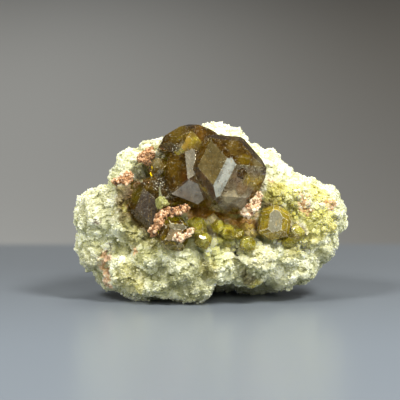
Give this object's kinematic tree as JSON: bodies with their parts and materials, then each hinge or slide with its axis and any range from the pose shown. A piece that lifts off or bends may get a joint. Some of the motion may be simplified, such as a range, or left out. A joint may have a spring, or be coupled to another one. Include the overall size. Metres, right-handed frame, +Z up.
{
  "type": "garnet in matrix specimen",
  "caption": "Mineral specimen: olive-brown garnet crystals with bevelled rhombic faces grown out of a pale lumpy granular rock with pink crusts.",
  "frame": {"origin": "on the supporting surface, under the middle of the specimen's bounding box", "axes": "+X along the specimen's longest extent, +Y from the crystal face towards the back, +Z up"},
  "size_m": [0.0502, 0.0296, 0.0322],
  "materials": {
    "matrix": "granular, pale grey-green to white",
    "garnet": "vitreous, translucent olive-brown",
    "yellow_garnet": "vitreous, translucent yellow-green",
    "pale_nub": "satin, pale green",
    "pink_crust": "fine-grained, matte salmon pink"
  },
  "bodies": {
    "root": {"matrix": "matrix", "garnet_cluster": "garnet", "garnet_front": "garnet", "garnet_right": "garnet", "garnet_yellow_left": "yellow_garnet", "garnet_yellow_middle": "yellow_garnet", "garnet_yellow_low": "yellow_garnet", "garnet_yellow_right": "yellow_garnet", "pale_nub": "pale_nub", "pink_ribbon": "pink_crust", "pink_crust_front": "pink_crust", "pink_crust_under": "pink_crust", "pink_crust_upper_left": "pink_crust", "pink_crust_left": "pink_crust"}
  },
  "joints": []
}
